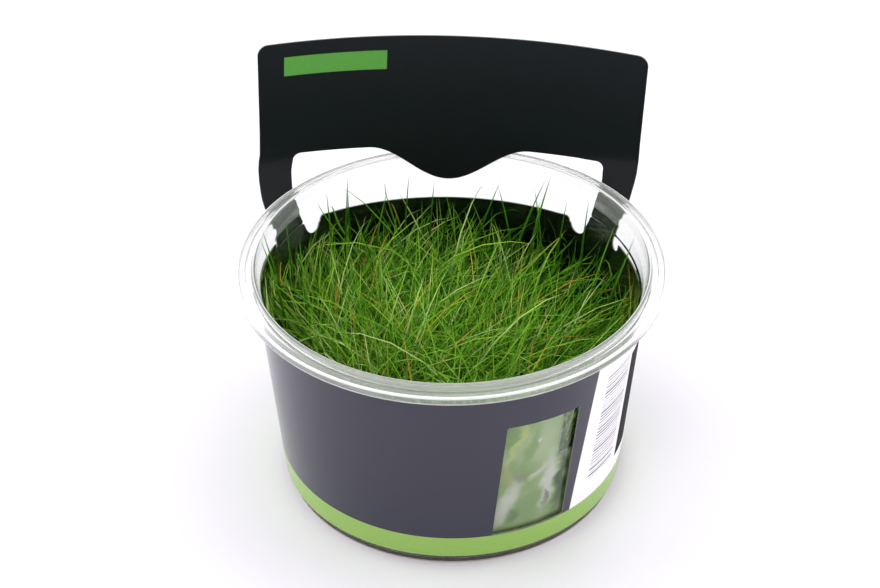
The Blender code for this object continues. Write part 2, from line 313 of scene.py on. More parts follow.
@dataclass(frozen=True)
class WetFilm:
    """The cup's wall behind the card's window, where gel and bruised blades cling to it.

    The film is pale green with soft washes, has milky patches near the gel, carries a few painted white glints
    and a strip of painted dark-green shade by the window's right edge, and leaves the wall clear beside the
    window's right edge.
    """

    dark: str = "#a4c67c"
    light: str = "#c6dca6"
    fold_size: float = 9.0
    swirl_size: float = 4.0
    swirl: float = 2.2
    edge_lean: float = 0.09
    edge_at: Point = (21.6, 20.8)
    edge_foot: Point = (29.5, 27.5)
    cover_clear: float = 0.1
    smears_glints_and_shade: tuple[Smear, ...] = (
        Smear(13.2, 38.4, 3.0, 5.0, 10.0, "#8db966", 0.8),
        Smear(21.3, 36.0, 4.2, 8.0, 8.0, "#cde2b4", 0.9),
        Smear(17.6, 33.5, 1.6, 7.0, 20.0, "#96bd70", 0.8),
        Smear(14.6, 35.6, 1.1, 9.5, 21.0, "#dbe79a", 0.9),
        Smear(11.6, 27.0, 2.0, 4.0, -20.0, "#c9d088", 0.7),
        Smear(17.0, 15.0, 4.6, 6.0, 20.0, "#9cbf7c", 0.9),
        Smear(13.4, 13.0, 1.9, 3.0, 20.0, "#7f9c64", 0.9),
        Smear(12.1, 17.4, 2.3, 8.5, 23.0, "#eef1e6", 1.0),
        Smear(9.4, 12.5, 2.0, 3.6, 0.0, "#e6ecda", 0.8),
        Smear(15.9, 25.2, 2.1, 2.2, 0.0, "#a6ab86", 0.8),
        Smear(19.4, 25.4, 0.9, 3.2, 42.0, "#e6ecdc", 1.0),
        Smear(21.6, 21.4, 1.6, 9.5, 6.0, "#f2f5ec", 1.0),
        Smear(20.9, 16.0, 0.4, 3.0, -6.0, "#8f8668", 0.8),
        # A painted dark-green shade along the window's right edge.
        Smear(24.6, 20.5, 1.7, 12.0, 6.0, "#476a30", 1.0),
        # The three white smears are painted glints: highlights on the wet film.
        Smear(20.4, 41.2, 0.9, 0.8, 40.0, "#ffffff", 1.0),
        Smear(24.0, 42.0, 1.8, 0.7, 70.0, "#ffffff", 1.0),
        Smear(19.9, 36.0, 0.5, 0.7, 20.0, "#ffffff", 0.9),
    )
    ior: float = 1.45

    def cloud(
        self, tree: bpy.types.NodeTree, place: bpy.types.NodeSocket, size: float
    ) -> bpy.types.Node:
        """Soft clouds of a size in millimetres."""
        return add_node(
            tree,
            "ShaderNodeTexNoise",
            {"Vector": place, "Scale": 1.0 / (size * MM), "Detail": 5.0, "Roughness": 0.5},
        )

    def smeared(
        self, tree: bpy.types.NodeTree, place: bpy.types.NodeSocket, smear: Smear
    ) -> bpy.types.NodeSocket:
        """How much of a smear covers each place, from 0 to its strength.

        Args:
            tree: the material's tree.
            place: where the pattern is read.
            smear: the patch.

        Returns:
            The mask.
        """
        frame = add_node(
            tree,
            "ShaderNodeMapping",
            {
                "Vector": place,
                "Location": (smear.x * MM, 0.0, smear.z * MM),
                "Rotation": (0.0, math.radians(smear.lean), 0.0),
                "Scale": (smear.wide * MM, 1.0, smear.high * MM),
            },
            vector_type="TEXTURE",
        )
        away = add_node(
            tree, "ShaderNodeVectorMath", {0: frame.outputs["Vector"]}, operation="LENGTH"
        )
        mask = add_node(
            tree,
            "ShaderNodeMapRange",
            {"Value": away.outputs["Value"], "From Min": 1.3, "From Max": 0.3, "To Max": smear.strength},
            interpolation_type="SMOOTHSTEP",
        )
        return mask.outputs["Result"]

    def cover(
        self, tree: bpy.types.NodeTree, place: bpy.types.NodeSocket
    ) -> bpy.types.NodeSocket:
        """1 where the film lies and 0 on the clear strip beside the window's right edge."""
        split = add_node(tree, "ShaderNodeSeparateXYZ", {0: place})
        lean = add_node(
            tree,
            "ShaderNodeMath",
            {0: split.outputs["Z"], 1: -self.edge_lean, 2: split.outputs["X"]},
            operation="MULTIPLY_ADD",
        )
        masks = []
        for value, (bare, full) in ((lean.outputs[0], self.edge_at), (split.outputs["Z"], self.edge_foot)):
            mask = add_node(
                tree,
                "ShaderNodeMapRange",
                {"Value": value, "From Min": bare * MM, "From Max": full * MM},
                interpolation_type="SMOOTHSTEP",
            )
            masks.append(mask.outputs["Result"])
        return add_node(tree, "ShaderNodeMath", {0: masks[0], 1: masks[1]}, operation="MAXIMUM").outputs[0]

    def material(self) -> bpy.types.Material:
        """Clear plastic under a smeared film, with painted white glints and a strip of painted dark-green shade.
        """
        material, tree, shader = new_material("polypropylene_wall_with_wet_film_painted_glints_and_shade")
        place = add_node(tree, "ShaderNodeTexCoord").outputs["Object"]
        folds = self.cloud(tree, place, self.fold_size)
        swirls = self.cloud(tree, place, self.swirl_size)
        centred = add_node(
            tree,
            "ShaderNodeVectorMath",
            {0: swirls.outputs["Color"], 1: (0.5, 0.5, 0.5)},
            operation="SUBTRACT",
        )
        swirled = add_node(
            tree,
            "ShaderNodeVectorMath",
            {0: centred.outputs["Vector"], 1: (2.0 * self.swirl * MM,) * 3, 2: place},
            operation="MULTIPLY_ADD",
        ).outputs["Vector"]
        wash = add_node(
            tree,
            "ShaderNodeMapRange",
            {"Value": folds.outputs["Fac"], "From Min": 0.35, "From Max": 0.65},
            interpolation_type="SMOOTHSTEP",
        )
        ink = add_node(
            tree,
            "ShaderNodeMix",
            {0: wash.outputs["Result"], 6: linear(self.dark), 7: linear(self.light)},
            data_type="RGBA",
        )
        for smear in self.smears_glints_and_shade:
            mask = self.smeared(tree, swirled, smear)
            ink = add_node(
                tree,
                "ShaderNodeMix",
                {0: mask, 6: ink.outputs[2], 7: linear(smear.colour)},
                data_type="RGBA",
            )
        cover = self.cover(tree, place)
        clear = add_node(
            tree, "ShaderNodeMapRange", {"Value": cover, "To Min": 1.0, "To Max": self.cover_clear}
        )
        rough = add_node(tree, "ShaderNodeMapRange", {"Value": cover, "To Min": 0.04, "To Max": 0.28})
        tint = add_node(
            tree, "ShaderNodeMix", {0: cover, 6: linear("#f4faf0"), 7: ink.outputs[2]}, data_type="RGBA"
        )
        tree.links.new(tint.outputs[2], shader.inputs["Base Color"])
        tree.links.new(clear.outputs["Result"], shader.inputs["Transmission Weight"])
        tree.links.new(rough.outputs["Result"], shader.inputs["Roughness"])
        shader.inputs["IOR"].default_value = self.ior
        return material


@dataclass(frozen=True)
class AgarGel:
    """Set nutrient agar: water-clear at its face, cloudy and faintly yellow-green within."""

    clear: str = "#dfe6c4"
    cloudy: str = "#b9c493"
    ior: float = 1.34

    def material(self) -> bpy.types.Material:
        """Wet jelly whose cloudiness changes over about a centimetre."""
        material, tree, shader = new_material("set_nutrient_agar")
        place = add_node(tree, "ShaderNodeTexCoord")
        cloud = add_node(
            tree,
            "ShaderNodeTexNoise",
            {"Vector": place.outputs["Object"], "Scale": 1.0 / (10.0 * MM), "Detail": 5.0},
        )
        tint = add_node(
            tree,
            "ShaderNodeMix",
            {0: cloud.outputs["Fac"], 6: linear(self.clear), 7: linear(self.cloudy)},
            data_type="RGBA",
        )
        haze = add_node(
            tree, "ShaderNodeMapRange", {"Value": cloud.outputs["Fac"], "To Min": 0.75, "To Max": 0.25}
        )
        tree.links.new(tint.outputs[2], shader.inputs["Base Color"])
        tree.links.new(haze.outputs["Result"], shader.inputs["Transmission Weight"])
        shader.inputs["Roughness"].default_value = 0.18
        shader.inputs["IOR"].default_value = self.ior
        return material


@dataclass(frozen=True)
class OffsetPrint:
    """Offset ink on coated carton board: deep, even colour under a satin coat, with a faint paper mottle."""

    roughness: float = 0.17
    sheen_level: float = 0.6
    ior: float = 1.5
    mottle_size: float = 0.8

    def start(self, name: str) -> tuple[bpy.types.Material, bpy.types.NodeTree, bpy.types.Node, dict]:
        """Begin a printed side.

        Args:
            name: the material's name.

        Returns:
            The material, its tree, its shader, and the flat card's place: along and up, in millimetres.
        """
        material, tree, shader = new_material(name)
        plan = add_node(tree, "ShaderNodeUVMap", uv_map=CardSleeve.PLAN)
        size = add_node(
            tree, "ShaderNodeVectorMath", {0: plan.outputs["UV"], "Scale": 1.0 / MM}, operation="SCALE"
        )
        split = add_node(tree, "ShaderNodeSeparateXYZ", {0: size.outputs["Vector"]})
        place = {"along": split.outputs["X"], "up": split.outputs["Y"], "both": size.outputs["Vector"]}
        return material, tree, shader, place

    def between(
        self, tree: bpy.types.NodeTree, value: bpy.types.NodeSocket, low: float, high: float
    ) -> bpy.types.NodeSocket:
        """1 where a value lies between two limits, with edges as crisp as print."""
        soft = 0.05
        rise = add_node(
            tree, "ShaderNodeMapRange", {"Value": value, "From Min": low - soft, "From Max": low + soft}
        )
        fall = add_node(
            tree, "ShaderNodeMapRange", {"Value": value, "From Min": high + soft, "From Max": high - soft}
        )
        both = add_node(
            tree,
            "ShaderNodeMath",
            {0: rise.outputs["Result"], 1: fall.outputs["Result"]},
            operation="MULTIPLY",
        )
        return both.outputs["Value"]

    def sheared(self, tree: bpy.types.NodeTree, place: dict, lean: float) -> bpy.types.NodeSocket:
        """Distance along the card, less a lean for each millimetre of height."""
        node = add_node(
            tree,
            "ShaderNodeMath",
            {0: place["up"], 1: -lean, 2: place["along"]},
            operation="MULTIPLY_ADD",
        )
        return node.outputs["Value"]

    def overlap(
        self, tree: bpy.types.NodeTree, first: bpy.types.NodeSocket, second: bpy.types.NodeSocket
    ) -> bpy.types.NodeSocket:
        """1 where two masks are both 1."""
        return add_node(tree, "ShaderNodeMath", {0: first, 1: second}, operation="MULTIPLY").outputs[0]

    def ink_over(
        self, tree: bpy.types.NodeTree, below: object, mask: bpy.types.NodeSocket, colour: str
    ) -> bpy.types.NodeSocket:
        """Lay one ink over what is printed already."""
        node = add_node(
            tree, "ShaderNodeMix", {0: mask, 6: below, 7: linear(colour)}, data_type="RGBA"
        )
        return node.outputs[2]

    def finish(
        self,
        tree: bpy.types.NodeTree,
        shader: bpy.types.Node,
        place: dict,
        ink: bpy.types.NodeSocket,
        dull: object = 0.0,
    ) -> None:
        """Join the ink, the paper's mottle and the coat's fine unevenness to the shader.

        Args:
            tree: the material's tree.
            shader: its shader.
            place: the flat card's place, as start gives it.
            ink: the printed colour.
            dull: how matt the print is at each place, from 0 to 1.
        """
        fibre = add_node(
            tree,
            "ShaderNodeTexNoise",
            {"Vector": place["both"], "Scale": 1.0 / self.mottle_size, "Detail": 3.0},
        )
        cloud = add_node(
            tree, "ShaderNodeTexNoise", {"Vector": place["both"], "Scale": 0.06, "Detail": 2.0}
        )
        shade = add_node(
            tree, "ShaderNodeMapRange", {"Value": fibre.outputs["Fac"], "To Min": 0.9, "To Max": 1.08}
        )
        mottled = add_node(
            tree,
            "ShaderNodeVectorMath",
            {0: ink, "Scale": shade.outputs["Result"]},
            operation="SCALE",
        )
        gloss = add_node(
            tree,
            "ShaderNodeMapRange",
            {
                "Value": cloud.outputs["Fac"],
                "To Min": self.roughness * 0.85,
                "To Max": self.roughness * 1.2,
            },
        )
        relief = add_node(
            tree,
            "ShaderNodeBump",
            {"Height": fibre.outputs["Fac"], "Strength": 0.12, "Distance": 0.02 * MM},
        )
        matt = add_node(tree, "ShaderNodeMath", {0: gloss.outputs["Result"], 1: dull}, operation="MAXIMUM")
        tree.links.new(mottled.outputs["Vector"], shader.inputs["Base Color"])
        tree.links.new(matt.outputs[0], shader.inputs["Roughness"])
        tree.links.new(relief.outputs["Normal"], shader.inputs["Normal"])
        shader.inputs["IOR"].default_value = self.ior
        shader.inputs["Specular IOR Level"].default_value = self.sheen_level


@dataclass(frozen=True)
class OutsidePrint(OffsetPrint):
    """The card's outer side: slate ground, a green line along the foot, a white panel with plain bars."""

    slate: str = "#1d1d31"
    green: str = "#8cb450"
    white: str = "#f7f4f9"
    bars: str = "#55525c"
    box: str = "#050507"
    bar_pitch: float = 0.95

    def material(self) -> bpy.types.Material:
        """Print the outer side."""
        material, tree, shader, place = self.start("carton_outer_side_offset_print")
        up = place["up"]
        panel = self.between(tree, self.sheared(tree, place, -0.115), -207.8, -170.55)
        ink = self.ink_over(tree, linear(self.slate), panel, self.white)
        step = add_node(tree, "ShaderNodeMath", {0: up, 1: 1.0 / self.bar_pitch}, operation="MULTIPLY")
        number = add_node(tree, "ShaderNodeMath", {0: step.outputs[0]}, operation="FLOOR")
        within = add_node(tree, "ShaderNodeMath", {0: step.outputs[0]}, operation="FRACT")
        chance = add_node(
            tree, "ShaderNodeTexWhiteNoise", {"W": number.outputs[0]}, noise_dimensions="1D"
        )
        width = add_node(
            tree, "ShaderNodeMapRange", {"Value": chance.outputs["Value"], "To Min": 0.12, "To Max": 0.62}
        )
        dark = add_node(
            tree,
            "ShaderNodeMath",
            {0: within.outputs[0], 1: width.outputs["Result"]},
            operation="LESS_THAN",
        )
        block = self.overlap(
            tree,
            self.between(tree, self.sheared(tree, place, -0.105), -186.9, -175.7),
            self.between(tree, up, 15.4, 46.6),
        )
        ink = self.ink_over(tree, ink, self.overlap(tree, dark.outputs[0], block), self.bars)
        box = self.overlap(
            tree,
            self.between(tree, self.sheared(tree, place, -0.05), -199.5, -190.6),
            self.between(tree, up, 13.4, 45.0),
        )
        ink = self.ink_over(tree, ink, box, self.box)
        line = self.between(tree, up, -1.0, 9.0)
        ink = self.ink_over(tree, ink, line, self.green)
        self.finish(tree, shader, place, ink, box)
        return material


@dataclass(frozen=True)
class InsidePrint(OffsetPrint):
    """The card's inner side, which is also the header's face: near-black, with one plain green bar."""

    black: str = "#14181b"
    green: str = "#5c9f45"
    roughness: float = 0.3
    sheen_level: float = 0.16

    def material(self) -> bpy.types.Material:
        """Print the inner side."""
        material, tree, shader, place = self.start("carton_inner_side_offset_print")
        bar = self.overlap(
            tree,
            self.between(tree, place["along"], -40.7, -15.75),
            self.between(tree, place["up"], 81.7, 86.6),
        )
        ink = self.ink_over(tree, linear(self.black), bar, self.green)
        self.finish(tree, shader, place, ink)
        return material


@dataclass(frozen=True)
class CutBoard:
    """The cut edge of carton board: matt grey-white fibres, darkened a little by the ink."""

    pale: str = "#9a9f9b"
    dark: str = "#5a5d5c"

    def material(self) -> bpy.types.Material:
        """Fibres of about a third of a millimetre along the cut."""
        material, tree, shader = new_material("die_cut_carton_edge")
        place = add_node(tree, "ShaderNodeTexCoord")
        fibre = add_node(
            tree,
            "ShaderNodeTexNoise",
            {"Vector": place.outputs["Object"], "Scale": 1.0 / (0.35 * MM), "Detail": 2.0},
        )
        tint = add_node(
            tree,
            "ShaderNodeMix",
            {0: fibre.outputs["Fac"], 6: linear(self.dark), 7: linear(self.pale)},
            data_type="RGBA",
        )
        tree.links.new(tint.outputs[2], shader.inputs["Base Color"])
        shader.inputs["Roughness"].default_value = 0.8
        return material


@dataclass(frozen=True)
class HairgrassLeaf:
    """Fresh hairgrass: thin waxy stems, green to yellow-green blade by blade, some turning ochre, with painted
    shade that darkens each blade toward its root.
    """

    deep: str = "#1b4a0a"
    mid: str = "#52961a"
    bright: str = "#8fc034"
    pale: str = "#c3dc8c"
    ochre: str = "#e5b845"
    rust: str = "#c98d34"
    roughness: float = 0.62
    ior: float = 1.4
    gloss_level: float = 0.14

    def material(self) -> bpy.types.Material:
        """Green by blade, with painted shade that darkens each blade toward its root, dry where the blade is
        marked dry.
        """
        material, tree, shader = new_material("fresh_hairgrass_leaf_painted_root_shade")
        tone = add_node(tree, "ShaderNodeAttribute", attribute_name=GrassMat.TONE)
        along = add_node(tree, "ShaderNodeAttribute", attribute_name=GrassMat.ALONG)
        dry = add_node(tree, "ShaderNodeAttribute", attribute_name=GrassMat.DRY)
        place = add_node(tree, "ShaderNodeTexCoord")
        vein = add_node(
            tree,
            "ShaderNodeTexNoise",
            {"Vector": place.outputs["Object"], "Scale": 1.0 / (1.6 * MM), "Detail": 2.0},
        )
        blend = add_node(
            tree,
            "ShaderNodeMath",
            {0: vein.outputs["Fac"], 1: 0.35, 2: tone.outputs["Fac"]},
            operation="MULTIPLY_ADD",
        )
        greens = add_node(tree, "ShaderNodeValToRGB", {"Fac": blend.outputs[0]})
        ramp = greens.color_ramp
        for place_on_ramp, colour in ((0.5, self.mid), (0.8, self.bright)):
            ramp.elements.new(place_on_ramp).color = linear(colour)
        ramp.elements[0].position = 0.15
        ramp.elements[0].color = linear(self.deep)
        ramp.elements[-1].color = linear(self.pale)
        # Painted shade: the colour is scaled down towards each blade's root, low in the mat.
        light = add_node(
            tree,
            "ShaderNodeMapRange",
            {"Value": along.outputs["Fac"], "From Min": 0.2, "From Max": 0.85, "To Min": 0.16, "To Max": 1.1},
        )
        lit = add_node(
            tree,
            "ShaderNodeVectorMath",
            {0: greens.outputs["Color"], "Scale": light.outputs["Result"]},
            operation="SCALE",
        )
        browns = add_node(
            tree,
            "ShaderNodeMix",
            {0: blend.outputs[0], 6: linear(self.rust), 7: linear(self.ochre)},
            data_type="RGBA",
        )
        colour = add_node(
            tree,
            "ShaderNodeMix",
            {0: dry.outputs["Fac"], 6: lit.outputs["Vector"], 7: browns.outputs[2]},
            data_type="RGBA",
        )
        tree.links.new(colour.outputs[2], shader.inputs["Base Color"])
        shader.inputs["Roughness"].default_value = self.roughness
        shader.inputs["IOR"].default_value = self.ior
        shader.inputs["Specular IOR Level"].default_value = self.gloss_level
        return material


@dataclass(frozen=True)
class StudioPaper:
    """Matt white background paper."""

    colour: str = "#f4f1f6"

    def material(self) -> bpy.types.Material:
        """White paper with a barely visible grain."""
        material, tree, shader = new_material("matt_background_paper")
        place = add_node(tree, "ShaderNodeTexCoord")
        grain = add_node(
            tree, "ShaderNodeTexNoise", {"Vector": place.outputs["Object"], "Scale": 300.0, "Detail": 2.0}
        )
        level = add_node(
            tree, "ShaderNodeMapRange", {"Value": grain.outputs["Fac"], "To Min": 0.99, "To Max": 1.0}
        )
        tint = add_node(
            tree,
            "ShaderNodeVectorMath",
            {0: linear(self.colour)[:3], "Scale": level.outputs["Result"]},
            operation="SCALE",
        )
        tree.links.new(tint.outputs["Vector"], shader.inputs["Base Color"])
        shader.inputs["Roughness"].default_value = 0.9
        return material


class Zone(Enum):
    """Zones of the cup that look unlike each other; each value is the zone's material number."""

    WALL = 0
    FILM = 1
    BEAD = 2
    LEDGE = 3
    # The rim's edges, painted white as highlight lines.
    EDGE = 4
    FOOT = 5


@dataclass
class ClearCup:
    """The clear cup: tapered wall, collar, flange with a bead and a skirt, floor with a foot ring."""

    rim_radius: float = 50.0
    rim_height: float = 57.0
    bead_height: float = 58.2
    wall_radius_at: Point = (44.45, 49.0)
    taper: float = 0.094
    thickness: float = 0.6
    floor_top: float = 1.6
    recess: float = 0.8
    foot_radius: float = 36.3
    film_top: float = 47.0
    film_middle: float = math.radians(153.0)
    film_half: float = math.radians(18.0)
    rim_start: float = 53.7
    steps: int = 144
    finish: CupPlastic = field(default_factory=CupPlastic)
    film: WetFilm = field(default_factory=WetFilm)
    bead: RimPlastic = field(default_factory=RimPlastic)
    ledge: RimPlastic = RimPlastic("moulded_polypropylene_ledge", clear=0.86, haze=0.2)
    # The edge finish is white and mostly opaque: painted highlights along the rim's outer edge, the skirt's lower
    # edge and the bead's top.
    edge: RimPlastic = RimPlastic("moulded_polypropylene_edge_painted_highlight", "#ffffff", clear=0.3, haze=0.1)
    foot: RimPlastic = RimPlastic("moulded_polypropylene_foot", "#cdbfb0", clear=0.4, haze=0.1)

    def wall(self, z: float) -> float:
        """Outer radius of the wall at a height."""
        return self.wall_radius_at[0] + self.taper * (z - self.wall_radius_at[1])

    def section(self) -> list[Point]:
        """The cup's section, from the floor's middle over the rim to the underside's middle."""
        inner = self.thickness
        rim, outer = self.rim_height, self.rim_radius
        collar, flange, skirt = rim - 3.4, rim - 0.8, rim - 2.1
        corners = [
            (0.0, self.floor_top, 0.0),
            (self.wall(self.floor_top) - inner - 0.2, self.floor_top, 1.6),
            (self.wall(self.film_top) - inner, self.film_top, 0.1),
            (self.wall(self.film_top + 3.6) - inner, self.film_top + 3.6, 0.2),
            (self.wall(self.film_top + 4.0) - inner + 0.2, self.film_top + 4.0, 0.2),
            (self.wall(collar) - inner + 0.15, collar, 0.5),
            (45.15, flange - 0.7, 0.4),
            (45.7, self.bead_height - 0.6, 0.5),
            (46.1, self.bead_height, 0.3),
            (46.9, self.bead_height - 0.1, 0.5),
            (47.9, rim + 0.1, 0.4),
            (48.3, rim, 0.3),
            (outer, rim, 0.5),
            (outer, skirt, 0.2),
            (outer - 0.7, skirt, 0.2),
            (outer - 0.7, flange, 0.3),
            (47.9, flange, 0.3),
            (46.9, self.bead_height - 0.8, 0.5),
            (46.35, self.bead_height - 0.65, 0.3),
            (45.8, collar + 1.4, 0.4),
            (self.wall(collar), collar, 0.6),
            (self.wall(0.0), 0.0, 0.6),
            (self.foot_radius, 0.0, 0.3),
            (self.foot_radius - self.recess, self.recess, 0.3),
            (0.0, self.recess, 0.0),
        ]
        return filleted(corners)

    def zone(self, face: bpy.types.MeshPolygon) -> Zone:
        """Which zone of the cup a face lies in."""
        x, y, z = (value / MM for value in face.center)
        radius = math.hypot(x, y)
        if z > self.rim_start:
            # The rim's outer edge, the skirt's lower edge and the bead's top take the painted white highlight.
            outer_edge_highlight = radius > self.rim_radius - 0.5 and z > self.rim_height - 0.55
            skirt_edge_highlight = radius > self.rim_radius - 0.8 and z < self.rim_height - 1.95
            bead_edge_highlight = 45.9 < radius < 46.3 and z > self.bead_height - 0.3
            if outer_edge_highlight or skirt_edge_highlight or bead_edge_highlight:
                return Zone.EDGE
            if face.normal.z < 0.2 and radius < self.rim_radius - 0.3:
                return Zone.WALL
            return Zone.LEDGE if 48.2 < radius < self.rim_radius - 0.5 else Zone.BEAD
        inward = face.normal.x * x + face.normal.y * y < 0.0
        if z < 3.0 and radius > self.foot_radius and not inward:
            return Zone.FOOT
        beside = radius > 30.0 and self.floor_top < z < self.film_top
        near = abs(math.atan2(x, y) - self.film_middle) < self.film_half
        return Zone.FILM if inward and beside and near else Zone.WALL

    def build(self) -> bpy.types.Object:
        """Turn the cup, dress it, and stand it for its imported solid."""
        cup = turned("clear_cup", self.section(), self.steps)
        for finish in (self.finish, self.film, self.bead, self.ledge, self.edge, self.foot):
            cup.data.materials.append(finish.material())
        for face in cup.data.polygons:
            face.material_index = self.zone(face).value
        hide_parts("cup")
        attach(cup, "root")
        return cup


@dataclass
class GelBed:
    """The gel in the bottom of the cup, a wet disc that creeps up the wall at its edge."""

    top: float = 13.0
    low: float = 1.9
    gap: float = 0.9
    creep: float = 0.25
    steps: int = 96
    finish: AgarGel = field(default_factory=AgarGel)

    def build(self, cup: ClearCup) -> bpy.types.Object:
        """Turn the gel inside a cup, dress it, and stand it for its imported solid."""
        edge = cup.wall(self.top) - self.gap
        corners = [
            (0.0, self.top, 0.0),
            (edge - 2.4, self.top, 1.2),
            (edge, self.top + self.creep, 0.1),
            (cup.wall(self.low + 1.2) - self.gap, self.low + 1.2, 0.6),
            (cup.wall(self.low) - self.gap - 1.3, self.low, 0.6),
            (0.0, self.low, 0.0),
        ]
        gel = turned("nutrient_gel_bed", filleted(corners), self.steps)
        gel.data.materials.append(self.finish.material())
        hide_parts("nutrient_gel")
        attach(gel, "root")
        return gel


@dataclass
class CardSleeve:
    """The die-cut card: a band round the cup, two legs outside the rim, and the header behind it.

    Flat, the card is measured along from the middle of the back, and up from the ground.
    """

    PLAN = "card_plan"

    thickness: float = 0.4
    wall_gap: float = 0.35
    radius: float = 45.0
    turn: float = math.radians(-2.5)
    tilt: float = 0.039
    lower: float = 3.0
    upper_back: float = 49.9
    upper_front: float = 51.9
    rise_start: float = math.radians(70.0)
    end_right: float = math.radians(86.0)
    end_left: float = math.radians(-280.0)
    lap_rise: float = 0.7
    lap: Point = (math.radians(258.0), math.radians(272.0))
    panel_top: float = 45.6
    panel_rise: float = 2.4
    panel_half: float = 34.0
    panel_corner: float = 1.2
    header_top: float = 90.3
    header_corner: float = 2.5
    shoulder_height: float = 60.8
    shoulder_corner: float = 2.0
    bump_tip: float = 52.0
    bump_half: float = 19.8
    inner_notch: tuple[float, float, float] = (36.7, 46.8, 2.2)
    outer_notch: tuple[float, float, float] = (50.6, 49.2, 1.8)
    window_corner: float = 0.6
    header_radius: float = 145.0
    header_middle_y: float = 43.8
    header_lean: float = math.tan(math.radians(6.0))
    header_shift: float = -0.6
    leg_start: float = 44.0
    leg_end: float = 61.5
    column_step: float = 2.0
    row_step: float = 2.0
    leg_inner: tuple[Point, ...] = ((38.5, 61.0), (39.0, 57.0), (39.6, 53.0), (39.6, 49.0), (39.1, 47.0))
    leg_outer: tuple[Point, ...] = (
        (48.8, 49.4),
        (48.4, 53.0),
        (47.4, 57.0),
        (46.7, 61.5),
        (46.7, 67.0),
        (47.2, 87.8),
    )
    window: tuple[Point, ...] = ((-193.5, 43.1), (-218.0, 42.8), (-215.5, 9.1), (-190.1, 9.1))
    outside: OutsidePrint = field(default_factory=OutsidePrint)
    inside: InsidePrint = field(default_factory=InsidePrint)
    edge: CutBoard = field(default_factory=CutBoard)

    def arc(self, centre: Point, radius: float, start: float, end: float, steps: int) -> list[Point]:
        """Points on a circle from one angle to another, in degrees."""
        turns = [math.radians(start + (end - start) * i / steps) for i in range(steps + 1)]
        return [(centre[0] + radius * math.cos(a), centre[1] + radius * math.sin(a)) for a in turns]

    def band_upper(self, along: float) -> float:
        """Height of the band's upper edge, which rises a little towards the front."""
        azimuth = abs(math.remainder(along / self.radius, math.tau))
        rise = self.upper_front - self.upper_back
        return self.upper_back + rise * ease(azimuth, self.rise_start, math.pi)

    def side(self) -> list[Point]:
        """The right edge, from the notch outside the leg up to the header's top corner."""
        u, height, radius = self.outer_notch
        notch = [(u + radius, self.upper_back)] + self.arc((u, height), radius, 0.0, -180.0, 14)
        corner = (self.leg_outer[-1][0] - self.header_corner, self.header_top - self.header_corner)
        return notch + list(self.leg_outer) + self.arc(corner, self.header_corner, 0.0, 90.0, 8)[1:]

    def outline(self) -> list[Point]:
        """The card's outer edge, anticlockwise from its lower left end."""
        left, right = self.end_left * self.radius, self.end_right * self.radius
        side = self.side()
        points = [(left, self.lower), (right, self.lower), (right, self.band_upper(right))]
        points += side + [(-u, h) for u, h in reversed(side)]
        start, steps = -side[0][0], 48
        for i in range(1, steps + 1):
            u = start + (left - start) * i / steps
            points.append((u, self.band_upper(u)))
        return points

    def cut_out(self) -> list[Point]:
        """The opening under the header, with the bump that hooks inside the rim."""
        half: list[Point] = []
        steps = 12
        for i in range(steps):
            u = (self.panel_half - self.panel_corner) * i / steps
            half.append((u, self.panel_top + self.panel_rise * (u / self.panel_half) ** 2))
        low = self.panel_top + self.panel_rise - self.panel_corner
        half += self.arc((self.panel_half - self.panel_corner, low), self.panel_corner, 90.0, 0.0, 5)
        u, height, radius = self.inner_notch
        half += self.arc((u, height), radius, 190.0, 350.0, 12)
        half += list(reversed(self.leg_inner))[1:-1]
        corner = (self.leg_inner[0][0] - self.shoulder_corner, self.shoulder_height - self.shoulder_corner)
        half += self.arc(corner, self.shoulder_corner, 0.0, 90.0, 6)
        steps = 24
        for i in range(steps):
            u = self.bump_half * (1.0 - i / steps)
            drop = 0.5 * (1.0 + math.cos(math.pi * u / self.bump_half))
            half.append((u, self.shoulder_height + (self.bump_tip - self.shoulder_height) * drop))
        return half + [(0.0, self.bump_tip)] + [(-u, h) for u, h in reversed(half[1:])]

    def window_outline(self) -> list[Point]:
        """The window's corners with small rounds."""
        corners = [(math.radians(a) * self.radius, h, self.window_corner) for a, h in self.window]
        ring = [corners[-1]] + corners + [corners[0]]
        return filleted(ring, 3)[1:-1]

    def header_share(self, u: float, h: float, z: float) -> float:
        """How far the card has left the cone for the header: 0 on the band and 1 on the header."""
        leg = ease(z, self.leg_start, self.leg_end)
        away = abs(u)
        if h > self.upper_back and away < self.leg_outer[0][0] + 0.1:
            return max(leg, 1.0 - ease(away, 33.0, 38.0))
        return leg * ease(away, 35.0, 38.0) * (1.0 - ease(away, 48.9, 52.4))

    def bend(self, u: float, h: float, cup: ClearCup) -> tuple[float, float, float]:
        """Carry a point of the flat card to its place round the cup.

        Args:
            u: distance along the flat card.
            h: height on the flat card.
            cup: the cup that the card is wrapped round.

        Returns:
            The place of the card's middle layer, in millimetres.
        """
        azimuth = u / self.radius + self.turn
        tilt = self.tilt * min(1.0, (h - self.lower) / (self.upper_back - self.lower))
        z_band = h - tilt * self.radius * math.sin(azimuth)
        lap = self.lap_rise * ease(-u / self.radius, *self.lap)
        radius = cup.wall(z_band) + self.wall_gap + self.thickness / 2.0 + lap
        band = (radius * math.sin(azimuth), radius * math.cos(azimuth), z_band)
        above = h - cup.rim_height
        x = self.header_shift + self.tilt * above + self.header_radius * math.sin(u / self.header_radius)
        sag = self.header_radius * (1.0 - math.cos(u / self.header_radius))
        header = (x, self.header_middle_y + self.header_lean * above - sag, h - tilt * x)
        share = self.header_share(u, h, z_band)
        return tuple(a + (b - a) * share for a, b in zip(band, header))

